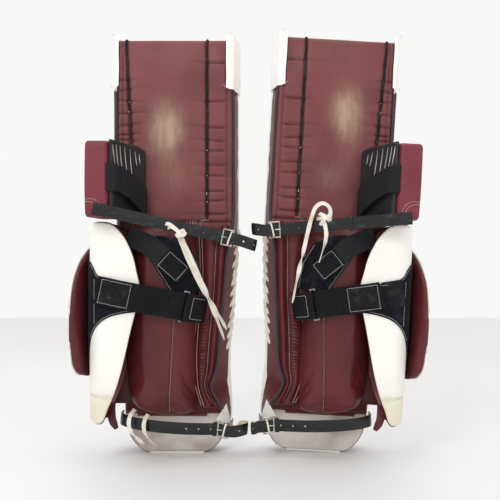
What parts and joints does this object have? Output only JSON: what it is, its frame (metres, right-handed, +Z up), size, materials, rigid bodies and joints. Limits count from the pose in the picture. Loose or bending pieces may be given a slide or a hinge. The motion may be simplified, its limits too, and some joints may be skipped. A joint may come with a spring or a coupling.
{
  "type": "ice hockey goalie leg pads",
  "caption": "Pair of ice hockey goalie leg pads with knee blocks, calf wings, neoprene calf wraps, leather straps with buckles and laces, flexing at thigh and boot.",
  "frame": {"origin": "bottom centre of the pair's bounding box, on the floor", "axes": "+Z up along the shins, +Y towards the flat blocking faces, +X from the right-leg pad to the left-leg pad"},
  "size_m": [0.7332, 0.2298, 0.9249],
  "materials": {
    "white_synthetic": "satin white synthetic leather",
    "faded_lining": "worn matte nylon lining",
    "burgundy_leather": "smooth synthetic leather",
    "foam": "closed-cell foam",
    "stiff_board": "moulded sheet",
    "grip_rubber": "moulded grip",
    "black_elastic": "woven elastic",
    "neoprene": "brushed neoprene",
    "black_leather": "polished strap leather",
    "tan_leather": "raw flesh side",
    "buckle_steel": "worn nickel plate",
    "lace_cotton": "flat woven lace",
    "piping": "charcoal piping",
    "stitching": "bonded thread",
    "eyelet_metal": "eyelets and rivets"
  },
  "bodies": {
    "shin_right": {"shin_cover_right": "white_synthetic", "shin_core_right": "foam", "shin_board_right": "stiff_board", "leg_lining_right": "faded_lining", "shin_cushion_right": "burgundy_leather", "knee_block_cover_right": "burgundy_leather", "knee_block_core_right": "foam", "knee_cradle_right": "grip_rubber", "knee_band_right": "black_elastic", "calf_wing_right": "white_synthetic", "wrap_panel_right": "neoprene", "upper_calf_strap_right": "black_elastic", "strap_slide_right": "buckle_steel", "knee_strap_right": "black_leather", "knee_buckle_right": "buckle_steel", "knee_chape_right": "black_leather", "knee_lace_right": "lace_cotton"},
    "thigh_right": {"thigh_cover_right": "white_synthetic", "thigh_core_right": "foam", "thigh_lining_right": "faded_lining"},
    "boot_right": {"boot_cover_right": "white_synthetic", "boot_core_right": "foam", "boot_strap_right": "black_leather", "boot_buckle_right": "buckle_steel", "boot_chape_right": "black_leather", "toe_lace_right": "lace_cotton"},
    "calf_flap_right": {"calf_flap_right": "burgundy_leather"},
    "calf_strap_right": {"calf_strap_right": "black_elastic"},
    "knee_prong_right": {"knee_prong_right": "buckle_steel"},
    "boot_prong_right": {"boot_prong_right": "buckle_steel"},
    "shin_left": {"shin_cover_left": "white_synthetic", "shin_core_left": "foam", "shin_board_left": "stiff_board", "leg_lining_left": "faded_lining", "shin_cushion_left": "burgundy_leather", "knee_block_cover_left": "burgundy_leather", "knee_block_core_left": "foam", "knee_cradle_left": "grip_rubber", "knee_band_left": "black_elastic", "calf_wing_left": "white_synthetic", "wrap_panel_left": "neoprene", "upper_calf_strap_left": "black_elastic", "strap_slide_left": "buckle_steel", "knee_strap_left": "black_leather", "knee_buckle_left": "buckle_steel", "knee_chape_left": "black_leather", "knee_lace_left": "lace_cotton"},
    "thigh_left": {"thigh_cover_left": "white_synthetic", "thigh_core_left": "foam", "thigh_lining_left": "faded_lining"},
    "boot_left": {"boot_cover_left": "white_synthetic", "boot_core_left": "foam", "boot_strap_left": "black_leather", "boot_buckle_left": "buckle_steel", "boot_chape_left": "black_leather"},
    "calf_flap_left": {"calf_flap_left": "burgundy_leather"},
    "calf_strap_left": {"calf_strap_left": "black_elastic"},
    "knee_prong_left": {"knee_prong_left": "buckle_steel"},
    "boot_prong_left": {"boot_prong_left": "buckle_steel"}
  },
  "joints": [
    {"name": "pad_spacing", "type": "slide", "parent": "shin_right", "child": "shin_left", "axis": [1, 0, 0], "range_m": [0, 0.3]},
    {"name": "thigh_flex_right", "type": "hinge", "parent": "shin_right", "child": "thigh_right", "pos_m": [-0.16365, 0.00385, 0.69], "axis": [1, 0, 0], "range_deg": [0, 25], "stiffness_Nm_per_rad": 8},
    {"name": "boot_flex_right", "type": "hinge", "parent": "shin_right", "child": "boot_right", "pos_m": [-0.16365, 0.07715, 0.19], "axis": [1, 0, 0], "range_deg": [0, 20], "stiffness_Nm_per_rad": 8},
    {"name": "calf_flap_hinge_right", "type": "hinge", "parent": "shin_right", "child": "calf_flap_right", "pos_m": [-0.29815, 0.02715, 0.33], "axis": [0, 0, -1], "range_deg": [0, 60], "stiffness_Nm_per_rad": 1},
    {"name": "calf_strap_hinge_right", "type": "hinge", "parent": "shin_right", "child": "calf_strap_right", "pos_m": [-0.14279, -0.04635, 0.33719], "axis": [0.2079, 0, 0.9781], "range_deg": [0, 110]},
    {"name": "knee_prong_hinge_right", "type": "hinge", "parent": "shin_right", "child": "knee_prong_right", "pos_m": [-0.03747, -0.01485, 0.47918], "axis": [0.2079, 0, 0.9781], "range_deg": [0, 30]},
    {"name": "boot_prong_hinge_right", "type": "hinge", "parent": "boot_right", "child": "boot_prong_right", "pos_m": [-0.0461, -0.03285, 0.07372], "axis": [0.0872, 0, 0.9962], "range_deg": [0, 30]},
    {"name": "thigh_flex_left", "type": "hinge", "parent": "shin_left", "child": "thigh_left", "pos_m": [0.18107, 0.00385, 0.69225], "axis": [0.9983, 0, -0.0576], "range_deg": [0, 25], "stiffness_Nm_per_rad": 8},
    {"name": "boot_flex_left", "type": "hinge", "parent": "shin_left", "child": "boot_left", "pos_m": [0.15228, 0.07715, 0.19308], "axis": [0.9983, 0, -0.0576], "range_deg": [0, 20], "stiffness_Nm_per_rad": 8},
    {"name": "calf_flap_hinge_left", "type": "hinge", "parent": "shin_left", "child": "calf_flap_left", "pos_m": [0.29462, 0.02715, 0.32511], "axis": [0.0576, 0, 0.9983], "range_deg": [0, 60], "stiffness_Nm_per_rad": 1},
    {"name": "calf_strap_hinge_left", "type": "hinge", "parent": "shin_left", "child": "calf_strap_left", "pos_m": [0.13993, -0.04635, 0.34123], "axis": [0.1513, 0, -0.9885], "range_deg": [0, 110]},
    {"name": "knee_prong_hinge_left", "type": "hinge", "parent": "shin_left", "child": "knee_prong_left", "pos_m": [0.04174, -0.01485, 0.49761], "axis": [0.0732, 0, -0.9973], "range_deg": [0, 30]},
    {"name": "boot_prong_hinge_left", "type": "hinge", "parent": "boot_left", "child": "boot_prong_left", "pos_m": [0.02823, -0.03285, 0.08376], "axis": [0.0297, 0, -0.9996], "range_deg": [0, 30]}
  ]
}
